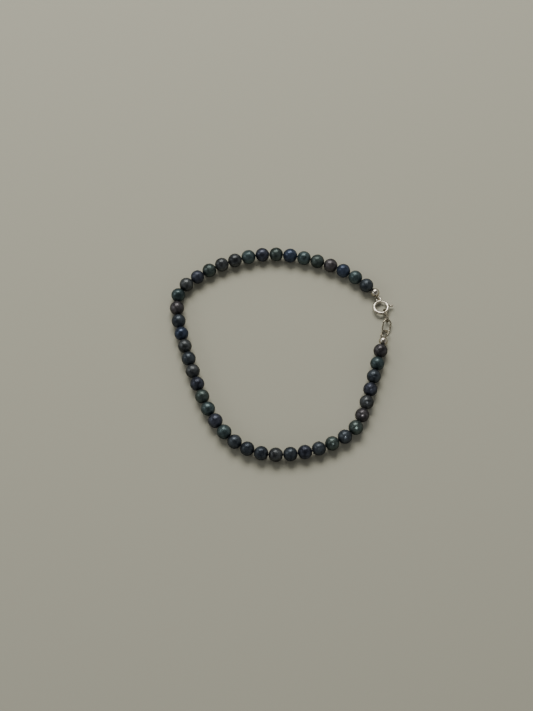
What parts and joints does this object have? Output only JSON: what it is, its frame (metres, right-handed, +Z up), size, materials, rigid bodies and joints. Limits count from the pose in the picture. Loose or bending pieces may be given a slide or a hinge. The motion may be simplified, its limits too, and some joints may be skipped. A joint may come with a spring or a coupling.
{
  "type": "pearl bracelet",
  "caption": "Fastened bracelet of small dark round pearls on a knotted thread, with silver bead tips, spring ring clasp and a short tag of links.",
  "frame": {"origin": "on the table, under the middle of the box round the whole bracelet", "axes": "+Z up from the table it lies on; +X towards the side with the clasp; +Y away from the viewer, towards the clasp's eye"},
  "size_m": [0.0648, 0.066, 0.0042],
  "materials": {
    "pearl_slate": "satin",
    "pearl_teal": "satin",
    "pearl_navy": "satin",
    "pearl_plum": "satin",
    "pearl_green_grey": "satin",
    "pearl_violet": "satin",
    "pearl_charcoal": "satin",
    "silver": "polished",
    "thread": "matte"
  },
  "bodies": {
    "bracelet": {"bead_tip_end": "silver", "bead_tip_start": "silver", "jump_ring": "silver", "pearl_01": "pearl_slate", "pearl_02": "pearl_teal", "pearl_03": "pearl_navy", "pearl_04": "pearl_plum", "pearl_05": "pearl_green_grey", "pearl_06": "pearl_teal", "pearl_07": "pearl_navy", "pearl_08": "pearl_green_grey", "pearl_09": "pearl_violet", "pearl_10": "pearl_teal", "pearl_11": "pearl_charcoal", "pearl_12": "pearl_charcoal", "pearl_13": "pearl_green_grey", "pearl_14": "pearl_violet", "pearl_15": "pearl_charcoal", "pearl_16": "pearl_teal", "pearl_17": "pearl_plum", "pearl_18": "pearl_slate", "pearl_19": "pearl_navy", "pearl_20": "pearl_charcoal", "pearl_21": "pearl_slate", "pearl_22": "pearl_charcoal", "pearl_23": "pearl_violet", "pearl_24": "pearl_green_grey", "pearl_25": "pearl_teal", "pearl_26": "pearl_violet", "pearl_27": "pearl_teal", "pearl_28": "pearl_slate", "pearl_29": "pearl_slate", "pearl_30": "pearl_slate", "pearl_31": "pearl_charcoal", "pearl_32": "pearl_slate", "pearl_33": "pearl_violet", "pearl_34": "pearl_slate", "pearl_35": "pearl_green_grey", "pearl_36": "pearl_slate", "pearl_37": "pearl_green_grey", "pearl_38": "pearl_plum", "pearl_39": "pearl_charcoal", "pearl_40": "pearl_violet", "pearl_41": "pearl_slate", "pearl_42": "pearl_teal", "pearl_43": "pearl_plum", "spring_ring": "silver", "tag_link_flat": "silver", "tag_link_upright": "silver", "thread": "thread"},
    "bolt": {"spring_bolt": "silver"}
  },
  "joints": [
    {"name": "bolt_opens", "type": "hinge", "parent": "bracelet", "child": "bolt", "pos_m": [0.02885, 0.01432, 0.00113], "axis": [0.0063, -0.1191, -0.9929], "range_deg": [0, 46], "stiffness_Nm_per_rad": 0.001, "springref_deg": -20.05}
  ]
}
